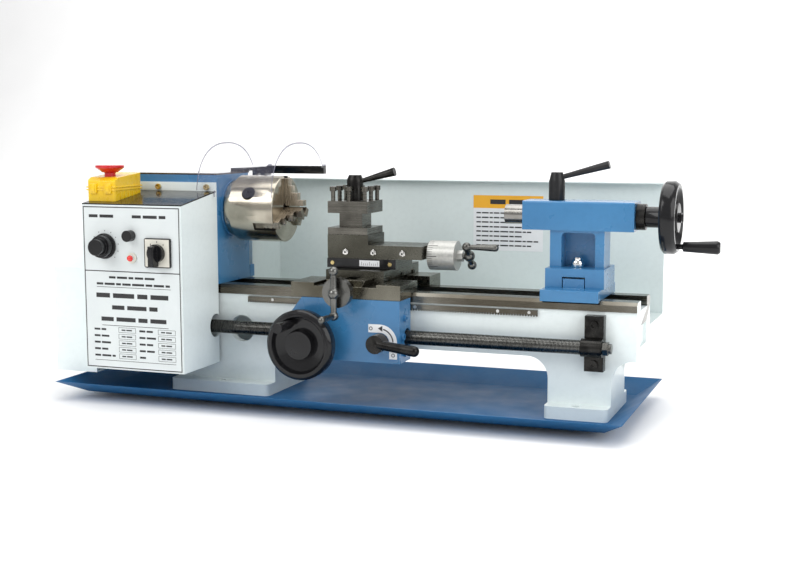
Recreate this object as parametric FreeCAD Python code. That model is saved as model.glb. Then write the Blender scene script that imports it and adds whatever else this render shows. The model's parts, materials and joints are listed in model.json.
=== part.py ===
import FreeCAD, Part
import os
from math import acos, atan2, copysign, cos, hypot, pi, radians, sin, sqrt

# A bench metal lathe on a chip tray, millimetres, +Z up.
# It is drawn from the headstock's right face (x = 0), the bed's centre line (y = 0) and the
# top of the ways (z = 0), +X towards the tailstock and -Y towards the person at work.
# At the end every piece is set down with its footprint's centre on the origin.

vec = FreeCAD.Vector

# Driving dimensions
centreHeight = 90.0        # spindle axis above the ways: 180 mm swing
wayHalf = 42.0             # half the width over the ways
bedLeft, bedRight = -132.0, 505.0
bedDepth = 65.0            # beam height
floorLevel = -130.0        # top of the tray's floor
sheet = 1.5                # sheet steel of tray and covers
padHeight = 6.5            # rubber pads under the tray
boltRadius = 4.5           # clearance for the M8 bolts through bed, tray and pads
headWidth = 132.0          # headstock and control box length along X
headTop = 131.5
chuckRadius = 40.0
chuckFace = 70.5
screwY, screwZ = -57.0, -49.0   # lead screw axis
screwRadius = 8.0
journalRadius = 6.0
runFit = 0.05              # radial clearance of shafts in their bores
slideFit = 0.1             # gap between sliding faces
saddleLeft, saddleRight = 113.0, 247.0
crossAxisZ = 4.6           # cross screw height
slideCentreX = 180.0       # cross slide and swivel centre
compoundAxisZ = 40.0
postX = 161.0              # tool post centre
quillRadius = 11.0
module = 1.0               # gear tooth module

boltPlaces = [(x, y) for x in (6.0, 441.0) for y in (-50.0, 50.0)]
parts = {}


def box(x0, x1, y0, y1, z0, z1):
    return Part.makeBox(x1 - x0, y1 - y0, z1 - z0, vec(x0, y0, z0))


def rod(radius, start, end):
    start, end = vec(*start), vec(*end)
    return Part.makeCylinder(radius, (end - start).Length, start, end - start)


def taper(startRadius, endRadius, start, end):
    start, end = vec(*start), vec(*end)
    return Part.makeCone(startRadius, endRadius, (end - start).Length, start, end - start)


def ball(radius, centre):
    return Part.makeSphere(radius, vec(*centre))


def prism(points, along):
    # a flat outline, given by its corners, pushed along a vector
    corners = [vec(*p) for p in points]
    return Part.Face(Part.makePolygon(corners + corners[:1])).extrude(vec(*along))


def join(first, *others):
    return first.fuse(list(others)).removeSplitter()


def less(solid, *tools):
    return solid.cut(list(tools))


def group(*solids):
    # separate solids kept in one node
    return Part.makeCompound(list(solids))


def turned(shape, centre, axis, degrees):
    copy = shape.copy()
    copy.rotate(vec(*centre), vec(*axis), degrees)
    return copy


def rounded(shape, radius, wanted):
    # fillet the edges whose middle point the test accepts
    def middle(edge):
        return edge.valueAt((edge.FirstParameter + edge.LastParameter) / 2)
    edges = [edge for edge in shape.Edges if wanted(middle(edge))]
    return shape.makeFillet(radius, edges)


def upright(shape, radius):
    # fillet the straight vertical edges
    edges = []
    for edge in shape.Edges:
        if isinstance(edge.Curve, Part.Line) and abs(edge.tangentAt(edge.FirstParameter).z) > 0.99:
            edges.append(edge)
    return shape.makeFillet(radius, edges)


def socketScrew(headRadius, headHeight, shankRadius, length, seat, outward):
    # a socket head cap screw: its head stands on the seat, its shank goes the other way
    seat, outward = vec(*seat), vec(*outward).normalize()
    head = Part.makeCylinder(headRadius, headHeight, seat, outward)
    shank = Part.makeCylinder(shankRadius, length, seat, outward * -1)
    top = seat + outward * headHeight
    socket = Part.makeCylinder(headRadius * 0.55, headHeight * 0.55, top, outward * -1)
    return head.fuse(shank).cut(socket)


def drilled(body, radius, length, seats, outward):
    # cut the shank holes of screws that stand on the given seats
    outward = vec(*outward).normalize()
    return less(body, *[Part.makeCylinder(radius, length, vec(*seat), outward * -1) for seat in seats])


def gear(teeth, x0, x1, centre, phase, bore):
    # a spur gear across X; teeth are slim trapezoids so that a pair runs with backlash
    y, z = centre
    pitch = teeth * module / 2
    flank = ((pitch - 1.2 * module, 0.27), (pitch, 0.205), (pitch + 0.95 * module, 0.1))
    points = []
    for tooth in range(teeth):
        middle = phase + tooth * 2 * pi / teeth
        profile = [(r, -w) for r, w in flank] + [(r, w) for r, w in reversed(flank)]
        for radius, share in profile:
            angle = middle + share * 2 * pi / teeth
            points.append((x0, y + radius * cos(angle), z + radius * sin(angle)))
    blank = prism(points, (x1 - x0, 0, 0))
    return less(blank, rod(bore, (x0 - 1, y, z), (x1 + 1, y, z)))


def meshed(driver, driven):
    # the phase that puts the driven gear's tooth gap on the driver's tooth: (teeth, centre, phase)
    teeth1, centre1, phase1 = driver
    teeth2, centre2 = driven
    line = atan2(centre2[1] - centre1[1], centre2[0] - centre1[0])
    ahead = ((line - phase1) * teeth1 / (2 * pi)) % 1
    return line + pi - (0.5 - ahead) * 2 * pi / teeth2


def apex(first, second, firstReach, secondReach, side):
    # the point at the two given distances from two centres, on one side of their line
    gap = hypot(second[0] - first[0], second[1] - first[1])
    along = (firstReach**2 - secondReach**2 + gap**2) / (2 * gap)
    off = sqrt(firstReach**2 - along**2) * side
    uy, uz = (second[0] - first[0]) / gap, (second[1] - first[1]) / gap
    return first[0] + along * uy - off * uz, first[1] + along * uz + off * uy


def hexagon(x, length, radius, centre, start):
    # a hexagon nut or head across X
    y, z = centre
    corners = [radians(start + turn) for turn in range(0, 360, 60)]
    return prism([(x, y + radius * cos(a), z + radius * sin(a)) for a in corners], (length, 0, 0))


def dovetail(centre, lowHalf, highHalf, low, high, start, end, along):
    # a rail that widens upwards, along X or Y
    sides = ((-lowHalf, low), (-highHalf, high), (highHalf, high), (lowHalf, low))
    if along == "X":
        return prism([(start, centre + s, z) for s, z in sides], (end - start, 0, 0))
    return prism([(centre + s, start, z) for s, z in sides], (0, end - start, 0))


# Tray and pads

def makeTray():
    middleX = 165.5
    floorHalfX, floorHalfY = 317.5, 98.7
    rimHalfX, rimHalfY = 342.0, 133.0
    rimLevel = -115.0

    def loop(halfX, halfY, z):
        corners = [(-halfX, -halfY), (halfX, -halfY), (halfX, halfY), (-halfX, halfY)]
        points = [vec(middleX + x, y, z) for x, y in corners]
        return Part.makePolygon(points + points[:1])

    outer = Part.makeLoft(
        [loop(floorHalfX, floorHalfY, floorLevel - sheet), loop(rimHalfX, rimHalfY, rimLevel)], True, True)
    inner = Part.makeLoft(
        [loop(floorHalfX - 1, floorHalfY - 1, floorLevel), loop(rimHalfX - 2, rimHalfY - 2, rimLevel + 0.01)],
        True, True)
    holes = [rod(boltRadius, (x, y, floorLevel - 5), (x, y, floorLevel + 5)) for x, y in boltPlaces]
    parts["chip_tray"] = less(outer, inner, *holes)

    padTop = floorLevel - sheet
    pads = []
    for x, y in boltPlaces:
        pad = taper(15, 17, (x, y, padTop - padHeight), (x, y, padTop))
        pads.append(less(pad, rod(boltRadius, (x, y, padTop - 10), (x, y, padTop + 1))))
    parts["rubber_feet"] = group(*pads)


# Bed

def makeBed():
    wall, wallOut = 30.0, 40.0
    beamLow = -bedDepth
    legs = [(-60.0, 72.0), (407.0, 478.0)]
    half = [(-42, -11), (-42, -3.7), (-38.3, 0), (-20, 0), (-20, -9), (-wall, -14),
            (-wall, beamLow), (-wallOut, beamLow), (-wallOut, -11)]
    length = (bedRight - bedLeft, 0, 0)
    front = prism([(bedLeft, y, z) for y, z in half], length)
    rear = prism([(bedLeft, -y, z) for y, z in half], length)
    webs = [box(x, x + 8, -wall, wall, beamLow, -28) for x in (bedLeft, 96, 240, 388)]
    endWall = less(box(497, bedRight, -wall, wall, beamLow, -11), box(502, 506, -18, 18, -52, -28))
    solid = [rear, endWall] + webs
    for left, right in legs:
        leg = box(left, right, -wallOut, wallOut, floorLevel, beamLow)
        pad = upright(box(left, right, -60, 60, floorLevel, -116), 6)
        hollow = box(left + 10, right - 10, -wall, wall, floorLevel, beamLow)
        solid.append(less(leg.fuse(pad), hollow))
    cove = 24.0
    for x, away in ((72.0, 1), (407.0, -1), (478.0, 1)):
        for y in (-wallOut, wall):
            block = box(min(x, x + away * cove), max(x, x + away * cove), y, y + 10, beamLow - cove, beamLow)
            centre = (x + away * cove, y - 1, beamLow - cove)
            solid.append(less(block, rod(cove, centre, (centre[0], y + 11, centre[2]))))
    bed = join(front, *solid)
    holes = [rod(boltRadius, (x, y, floorLevel - 1), (x, y, -110)) for x, y in boltPlaces]
    sideHole = rod(16, (29, -45, -53), (29, -25, -53))
    parts["lathe_bed"] = less(bed, sideHole, *holes)

    rackLeft, rackRight, rackTop, rackLow = 39.0, 395.0, -13.0, -20.0
    rack = box(rackLeft, rackRight, -44, -40, rackLow, rackTop)
    pitch = pi * module
    start = pinionX() % pitch
    notches = []
    for step in range(int(rackLeft / pitch), int(rackRight / pitch) + 1):
        x = start + step * pitch
        if rackLeft + 1 < x < rackRight - 1:
            notches.append(prism([(x - 1.15, -45, rackLow - 0.1), (x - 0.5, -45, rackLow + 2.2),
                                  (x + 0.5, -45, rackLow + 2.2), (x + 1.15, -45, rackLow - 0.1)], (0, 6, 0)))
    parts["rack"] = less(rack, *notches)
    heads = [rod(1.8, (x, -44.8, -15.6), (x, -44, -15.6)) for x in (72, 160, 252, 350, 386)]
    parts["rack_screws"] = group(*heads)


# Carriage gearing: hand wheel 20 teeth -> 40 teeth with a 16 tooth pinion under the rack

wheelCentre = (137.0, -56.0)
pinionZ = -27.0


def pinionX():
    reach = (20 + 40) * module / 2
    return wheelCentre[0] + sqrt(reach**2 - (pinionZ - wheelCentre[1])**2)


def standing(teeth, x, z, y0, y1, phase, bore):
    # a spur gear across Y, made across X and turned
    flat = gear(teeth, 0, y1 - y0, (0, 0), phase, bore)
    flat.rotate(vec(0, 0, 0), vec(0, 0, 1), 90)
    flat.translate(vec(x, y0, z))
    return flat


# Headstock, spindle and chuck

def makeHeadstock():
    shell = box(-headWidth, 0, -45, 42, 0, headTop)
    shell = rounded(shell, 4, lambda p: p.x > -1 and abs(p.z - headTop / 2) < 1)
    foot = box(-headWidth, 0, 40, 52, 0, 15)
    hollow = box(-headWidth + 12, -12, -37, 34, 8, headTop + 1)
    axis = centreHeight
    bore = rod(27.5, (-headWidth - 1, 0, axis), (1, 0, axis))
    boss = rod(34, (0, 0, axis), (2, 0, axis))
    parts["headstock"] = less(join(shell, foot, boss), hollow, bore, rod(27.5, (-1, 0, axis), (3, 0, axis)))
    parts["headstock_cover"] = box(-headWidth, 0, -45, 42, headTop, headTop + 2)

    bearings = []
    for x in (-headWidth, -12):
        outer = collar(27.5, x, x + 12, (0, axis), 22.5)
        inner = collar(19.5, x, x + 12, (0, axis), 15 + runFit)
        shield = collar(22.5, x + 3, x + 9, (0, axis), 19.5)
        bearings.append(join(outer, inner, shield))
    parts["spindle_bearings"] = group(*bearings)

    spindle = join(rod(12, (-178, 0, axis), (-139, 0, axis)), rod(15, (-139, 0, axis), (4, 0, axis)),
                   rod(35, (4, 0, axis), (13, 0, axis)))
    parts["spindle"] = less(spindle, rod(10, (-179, 0, axis), (14, 0, axis)))
    parts["spindle_pulley"] = pulley(25, (0, axis), 12)


def pulley(radius, centre, bore):
    y, z = centre
    rim = rod(radius, (-153, y, z), (-141, y, z))
    flanges = [rod(radius + 4, (x, y, z), (x + 1.5, y, z)) for x in (-154, -141.5)]
    return less(join(rim, *flanges), rod(bore, (-156, y, z), (-139, y, z)))


def makeChuck():
    axis = centreHeight
    rear, ring = 13.0, 21.0

    def across(radius, x0, x1):
        return rod(radius, (x0, 0, axis), (x1, 0, axis))

    plate = join(across(chuckRadius, rear, ring - 0.05), across(33, ring - 0.05, 27.5))
    parts["chuck_backplate"] = less(plate, across(9, rear - 1, 30))
    cavity = less(across(33.5, ring - 1, 43), across(11.9, ring - 1, 44))
    spigotRoom = across(33.5, ring - 1, 28)
    body = less(across(chuckRadius, ring, chuckFace), cavity, spigotRoom, across(9, ring - 1, chuckFace + 1))
    body = rounded(body, 1.2, lambda p: p.x > chuckFace - 0.1 and hypot(p.y, p.z - axis) > 39)
    slots, holes = [], []
    for turn in (0, 120, 240):
        slot = box(43.3, chuckFace + 1, -5, 5, axis + 3, axis + chuckRadius + 2)
        slots.append(turned(slot, (0, 0, axis), (1, 0, 0), turn))
        hole = rod(8.5, (37, 0, axis - 30), (37, 0, axis - chuckRadius - 2))
        holes.append(turned(hole, (0, 0, axis), (1, 0, 0), turn))
    parts["chuck_body"] = less(body, *(slots + holes))
    scroll = less(across(33, 28.6, 42.4), across(11.9 + runFit, 28, 43))
    grooves = [less(across(r + 1.2, 41.2, 43), across(r, 41.2, 43)) for r in (15, 19, 23, 27, 31)]
    parts["chuck_scroll"] = less(scroll, *grooves)
    for number, turn in enumerate((0, 120, 240), 1):
        jaw = join(box(43.6, 76, -4.8, 4.8, axis + 4, axis + 37),
                   box(70, 80, -4.8, 4.8, axis + 4, axis + 28),
                   box(70, 87.5, -4.8, 4.8, axis + 4, axis + 19.5),
                   box(70, 95, -4.8, 4.8, axis + 4, axis + 11))
        parts["chuck_jaw_%d" % number] = turned(jaw, (0, 0, axis), (1, 0, 0), turn)
        pinion = less(rod(8.4, (37, 0, axis - 34), (37, 0, axis - 39)),
                      box(34, 40, -3, 3, axis - 40, axis - 35.5))
        parts["chuck_pinion_%d" % number] = turned(pinion, (0, 0, axis), (1, 0, 0), turn)


# Drive: motor, belt and the change gears behind the left cover

motorCentre = (88.0, -55.0)


def makeDrive():
    my, mz = motorCentre
    can = rounded(rod(36, (-126, my, mz), (-10, my, mz)), 4, lambda p: True)
    parts["motor"] = less(can, rod(5 + runFit, (-127, my, mz), (-80, my, mz)))
    parts["motor_bracket"] = less(box(-104, -30, 40, 66, -80, -30), rod(36, (-110, my, mz), (-20, my, mz)))
    parts["motor_shaft"] = rod(5, (-156, my, mz), (-82, my, mz))
    parts["motor_pulley"] = pulley(12, motorCentre, 5)

    sy, sz = 0.0, centreHeight
    gap = hypot(my - sy, mz - sz)
    line = atan2(mz - sz, my - sy)

    def loop(extra, x0, x1):
        spindleR, motorR = 25 + extra, 12 + extra
        lean = acos((spindleR - motorR) / gap)
        corners = []
        for side in (1, -1):
            angle = line + side * lean
            corners.append([(sy + spindleR * cos(angle), sz + spindleR * sin(angle)),
                            (my + motorR * cos(angle), mz + motorR * sin(angle))])
        points = [corners[0][0], corners[0][1], corners[1][1], corners[1][0]]
        strap = prism([(x0, y, z) for y, z in points], (x1 - x0, 0, 0))
        return join(strap, rod(spindleR, (x0, sy, sz), (x1, sy, sz)), rod(motorR, (x0, my, mz), (x1, my, mz)))

    parts["drive_belt"] = less(loop(2.8, -151.5, -142.5), loop(0.3, -152.5, -141.5))

    spindleC, screwC = (sy, sz), (screwY, screwZ)
    reach = hypot(screwC[0] - sy, screwC[1] - sz)
    studReach = 60.0
    studC = (sy + (screwC[0] - sy) * studReach / reach, sz + (screwC[1] - sz) * studReach / reach)
    idlerC = apex(spindleC, studC, 35, 35, 1)
    middleC = apex(studC, screwC, 50, 50, 1)
    inner, outer = (-166.0, -158.0), (-178.0, -170.0)
    studR = 4.0
    loose = studR + runFit

    idlerPhase = meshed((40, spindleC, 0), (30, idlerC))
    studPhase = meshed((30, idlerC, idlerPhase), (40, studC))
    middlePhase = meshed((20, studC, studPhase), (80, middleC))
    screwPhase = meshed((20, middleC, middlePhase), (80, screwC))
    parts["spindle_gear"] = gear(40, *inner, spindleC, 0, 12)
    parts["idler_gear"] = gear(30, *inner, idlerC, idlerPhase, loose)
    parts["stud_gear"] = join(gear(40, *inner, studC, studPhase, loose),
                              gear(20, *outer, studC, studPhase, loose),
                              collar(8, -170, -166, studC, loose))
    parts["middle_gear"] = join(gear(20, *inner, middleC, middlePhase, loose),
                                gear(80, *outer, middleC, middlePhase, loose),
                                collar(8, -170, -166, middleC, loose))
    parts["lead_screw_gear"] = gear(80, *inner, screwC, screwPhase, journalRadius)

    plateLeft, plateRight = -137.0, -132.0
    studs, bosses = [], []
    for y, z in (idlerC, studC, middleC):
        studs.append(rod(studR, (-181, y, z), (plateLeft, y, z)))
        studs.append(rod(6.5, (-157.5, y, z), (-155.5, y, z)))
        bosses.append(rod(9, (plateLeft, y, z), (plateRight, y, z)))
    arm = prism([(plateLeft, y, z) for y, z in ((10, 64), (-34, 40), (-34, -24), (-8, -26), (18, 40))],
                (plateRight - plateLeft, 0, 0))
    parts["gear_bracket"] = join(arm, *(bosses + studs))


def collar(radius, x0, x1, centre, bore):
    y, z = centre
    return less(rod(radius, (x0, y, z), (x1, y, z)), rod(bore, (x0 - 1, y, z), (x1 + 1, y, z)))


def makeGearCover():
    left, right = -188.0, -132.0
    outline = [(-110, -105), (-110, 21), (-48, 52), (-24, 122), (60, 122), (118, 40), (118, -105)]
    inset = [(-108, -103), (-108, 19.8), (-46.6, 50.5), (-22.6, 120), (59, 120), (116, 39.4), (116, -103)]
    shell = less(prism([(left, y, z) for y, z in outline], (right - left, 0, 0)),
                 prism([(left + 2, y, z) for y, z in inset], (right - left, 0, 0)))
    seats = [(left, 30, 100), (left, 60, -85)]
    parts["gear_cover"] = drilled(shell, 2, 8, seats, (-1, 0, 0))
    parts["gear_cover_screws"] = group(*[socketScrew(3.5, 3, 2, 8, seat, (-1, 0, 0)) for seat in seats])


# Control box

boxFront, boxRear, boxLow, boxTop, boxTopRear = -131.0, -45.0, -95.0, 99.0, 111.0


def makeControls():
    stripTop = 122.7
    outline = [(boxFront, boxLow), (boxRear, boxLow), (boxRear, stripTop), (boxRear - 2, stripTop),
               (boxRear - 2, boxTopRear), (boxFront, boxTop)]
    inset = [(boxFront + 2, boxLow + 2), (boxRear + 1, boxLow + 2), (boxRear + 1, boxTopRear - 2.5),
             (boxRear - 2, boxTopRear - 2.5), (boxFront + 2, boxTop - 2)]
    shell = prism([(-headWidth, y, z) for y, z in outline], (headWidth, 0, 0))
    hollow = prism([(-headWidth + 2, y, z) for y, z in inset], (headWidth - 4, 0, 0))
    notch = rod(14, (-headWidth - 1, -53, screwZ), (1, -53, screwZ))
    stripScrews = [(-78.0, 117.0), (-12.0, 117.0)]
    screwRoom = [rod(2, (x, boxRear - 3, z), (x, boxRear + 1, z)) for x, z in stripScrews]
    knobs = {"speed": (-101.0, 51.0), "fuse": (-66.0, 64.0), "lamp": (-65.0, 38.0), "switch": (-30.0, 45.0)}
    dials = [rod(4.2, (x, boxFront - 1, z), (x, boxFront + 3, z)) for x, z in knobs.values()]
    parts["control_box"] = less(shell, hollow, notch, *(screwRoom + dials))
    bolts = [socketScrew(3.6, 2.6, 2, 6, (x, boxRear - 2, z), (0, -1, 0)) for x, z in stripScrews]
    seats = [(x, boxRear, z) for x, z in stripScrews]
    parts["headstock"] = drilled(parts["headstock"], 2, 4.5, seats, (0, -1, 0))
    parts["control_box_screws"] = group(*bolts)

    rise = (boxTopRear - boxTop) / (boxRear - 2 - boxFront)
    parts["control_box_top"] = prism(
        [(-headWidth, boxFront, boxTop), (-headWidth, boxRear - 2, boxTopRear),
         (-headWidth, boxRear - 2, boxTopRear + 1.5), (-headWidth, boxFront, boxTop + 1.5)],
        (headWidth, 0, 0))
    face = box(-headWidth + 1, -1, boxFront - 0.8, boxFront, boxLow + 1, boxTop - 1)
    parts["control_panel"] = less(face, *[rod(4.2, (x, boxFront - 2, z), (x, boxFront + 3, z))
                                          for x, z in knobs.values()])

    panel = boxFront - 0.8

    x, z = knobs["speed"]
    parts["speed_knob"] = join(rod(15, (x, panel - 3.3, z), (x, panel - 0.3, z)),
                               rod(13, (x, panel - 12, z), (x, panel - 3, z)),
                               rod(9.5, (x, panel - 22, z), (x, panel - 12, z)),
                               rod(3.5, (x, panel - 1, z), (x, panel + 12, z)))
    parts["speed_control"] = less(rod(10, (x, boxFront + 2.2, z), (x, boxFront + 16, z)),
                                  rod(3.5 + runFit, (x, panel - 2, z), (x, panel + 13, z)))

    x, z = knobs["fuse"]
    parts["fuse_holder"] = join(rod(6.5, (x, panel - 10, z), (x, panel, z)),
                                rod(4.2, (x, panel, z), (x, panel + 20, z)))
    x, z = knobs["lamp"]
    bezel = join(rod(6.2, (x, panel - 2, z), (x, panel, z)), rod(4.2, (x, panel, z), (x, panel + 14, z)))
    parts["lamp_bezel"] = less(bezel, rod(3.8, (x, panel - 3, z), (x, panel + 5, z)))
    dome = less(ball(3.8, (x, panel - 4.5, z)), box(x - 5, x + 5, panel - 4.5, panel + 5, z - 5, z + 5))
    parts["pilot_lamp"] = join(rod(3.8, (x, panel - 4.5, z), (x, panel + 5, z)), dome)

    x, z = knobs["switch"]
    plate = box(x - 17, x + 17, panel - 3, panel, z - 17, z + 17)
    plate = rounded(plate, 2, lambda p: abs(p.y - (panel - 1.5)) < 0.01)
    parts["switch_plate"] = less(plate, rod(4.2, (x, panel - 4, z), (x, panel + 1, z)))
    grip = box(x - 3.5, x + 3.5, panel - 19, panel - 6, z - 15, z + 9)
    grip = rounded(grip, 1.5, lambda p: p.y < panel - 18.9)
    parts["switch_knob"] = join(rod(10.5, (x, panel - 9, z), (x, panel - 3.3, z)), grip,
                                rod(3.5, (x, panel - 4, z), (x, panel + 10, z)))
    parts["reversing_switch"] = less(box(x - 16, x + 16, boxFront + 2.2, boxFront + 34, z - 16, z + 16),
                                     rod(3.5 + runFit, (x, panel - 2, z), (x, panel + 11, z)))
    board = box(-120, -20, -100, -98, -85, -10)
    can = [rod(9, (x, -98, -35), (x, -74, -35)) for x in (-105, -82)]
    parts["control_board"] = join(board, box(-62, -30, -98, -80, -70, -40), *can)

    left, right, front, back = -131.0, -93.0, -120.0, -62.0
    lowFront = boxTop + 1.5 + rise * (front - boxFront)
    lowBack = boxTop + 1.5 + rise * (back - boxFront)
    baseTop = 16.0
    base = prism([(left, front, lowFront), (left, back, lowBack), (left, back, lowBack + baseTop),
                  (left, front, lowFront + baseTop)], (right - left, 0, 0))
    pocket = prism([(left + 3, front + 3, lowFront + 3), (left + 3, back - 3, lowBack + 3),
                    (left + 3, back - 3, lowBack + baseTop + 1),
                    (left + 3, front + 3, lowFront + baseTop + 1)],
                   (right - left - 6, 0, 0))
    midX = (left + right) / 2

    def corners(p):
        return (p.y < front + 1 or p.y > back - 1) and abs(p.x - midX) > 15

    parts["stop_base"] = less(rounded(base, 3, corners), pocket)
    lidLow = [lowFront + baseTop, lowBack + baseTop]
    lid = prism([(left, front, lidLow[0]), (left, back, lidLow[1]), (left, back, lidLow[1] + 8),
                 (left, front + 8, lidLow[0] + 12), (left, front, lidLow[0] + 8)], (right - left, 0, 0))
    lid = rounded(lid, 3, corners)
    stemY = front + 20
    parts["stop_lid"] = less(lid, rod(7, (midX, stemY, lidLow[0] - 5), (midX, stemY, lidLow[0] + 30)))
    parts["stop_button"] = join(rod(6.5, (midX, stemY, lidLow[0] - 6), (midX, stemY, lidLow[0] + 17.5)),
                                taper(9, 17, (midX, stemY, lidLow[0] + 17.5), (midX, stemY, lidLow[0] + 23)),
                                rod(17, (midX, stemY, lidLow[0] + 23), (midX, stemY, lidLow[0] + 26)))


# Lead screw and its brackets

def makeLeadScrew():
    y, z = screwY, screwZ
    screw = join(rod(journalRadius, (-184, y, z), (-12, y, z)), rod(screwRadius, (-12, y, z), (447.5, y, z)),
                 rod(journalRadius, (447.5, y, z), (478, y, z)))
    nut = hexagon(471.6, 6, 8, (y, z), 0)
    parts["lead_screw"] = join(screw, nut, rod(5.5, (477, y, z), (481, y, z)))
    for name, x0, x1, bossFrom, bossTo in (("left_screw_bracket", -46, -20, -44, -13),
                                           ("right_screw_bracket", 450, 471, 448, 471)):
        block = box(x0, x1, -52, -40, -76, -15)
        boss = rod(10, (bossFrom, y, z), (bossTo, y, z))
        parts[name] = less(join(block, boss), rod(journalRadius + runFit, (x0 - 10, y, z), (x1 + 10, y, z)))
    seats = [(x, -52, h) for x in (-33, 460.5) for h in (-25, -68)]
    for name in ("left_screw_bracket", "right_screw_bracket"):
        parts[name] = drilled(parts[name], 3, 8, seats, (0, -1, 0))
    parts["bracket_screws"] = group(*[socketScrew(4.5, 3, 3, 8, seat, (0, -1, 0)) for seat in seats])


# Guards

def makeGuards():
    left, right, back = -5.0, 505.0, 138.0
    low, high = -37.0, 121.7
    panel = box(left, right, back - sheet, back, low, high)
    lip = box(left, right, back - 12, back, high - sheet, high)
    base = box(left, right, 40, back, low, low + sheet)
    tab = box(left, right, 40, 40 + sheet, low, low + 14)
    end = box(left, left + sheet, 54, back, low, high)
    seats = [(x, 40 + sheet, low + 8) for x in (60, 250, 440)]
    parts["splash_guard"] = drilled(join(panel, lip, base, tab, end), 2.5, 8, seats, (0, 1, 0))
    parts["lathe_bed"] = drilled(parts["lathe_bed"], 2.5, 8, seats, (0, 1, 0))
    parts["splash_guard_screws"] = group(*[socketScrew(4, 2, 2.5, 8, seat, (0, 1, 0)) for seat in seats])

    hingeY, hingeZ = 103.0, 133.0
    bracket = join(box(-20, -2, 30, 96, headTop + 2, headTop + 6), box(-20, -14, 90, 110, 126, headTop + 6),
                   box(-8, -2, 90, 110, 126, headTop + 6))
    parts["guard_bracket"] = less(bracket, rod(4.5 + runFit, (-21, hingeY, hingeZ), (0, hingeY, hingeZ)))
    parts["guard_bar"] = join(rod(4.5, (-22, hingeY, hingeZ), (-1, hingeY, hingeZ)),
                              box(-1.6, 77, hingeY - 4, hingeY + 4, hingeZ - 4.5, hingeZ + 3.5),
                              box(-0.6, 77, 92, hingeY + 4, hingeZ + 3.5, 138.8))
    left, right, thick = -22.0, 77.0, 2.0
    centreY, centreZ, spread, rise = 25.0, 104.0, 80.0, 66.0

    def curve(wide, tall):
        # a flattened ellipse from the front edge over the chuck to the flange
        points = []
        for step in range(25):
            angle = radians(179 - 149.5 * step / 24)
            across, up = cos(angle), sin(angle)
            points.append(vec(left, centreY + wide * copysign(abs(across)**0.85, across),
                              centreZ + tall * up**0.85))
        line = Part.BSplineCurve()
        line.interpolate(points)
        return line

    outer, inner = curve(spread, rise), curve(spread - thick, rise - thick)
    ends = [Part.makeLine(outer.StartPoint, inner.StartPoint), Part.makeLine(outer.EndPoint, inner.EndPoint)]
    wire = Part.Wire(Part.__sortEdges__([outer.toShape(), inner.toShape()] + ends))
    arch = Part.Face(wire).extrude(vec(right - left, 0, 0))
    flange = box(0, right, 94, hingeY + 4, 138.8, 140.8)
    parts["chuck_guard"] = less(join(arch, flange), box(left - 1, 1.5, -60, -40, 100, 113.6))


# Carriage

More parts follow.
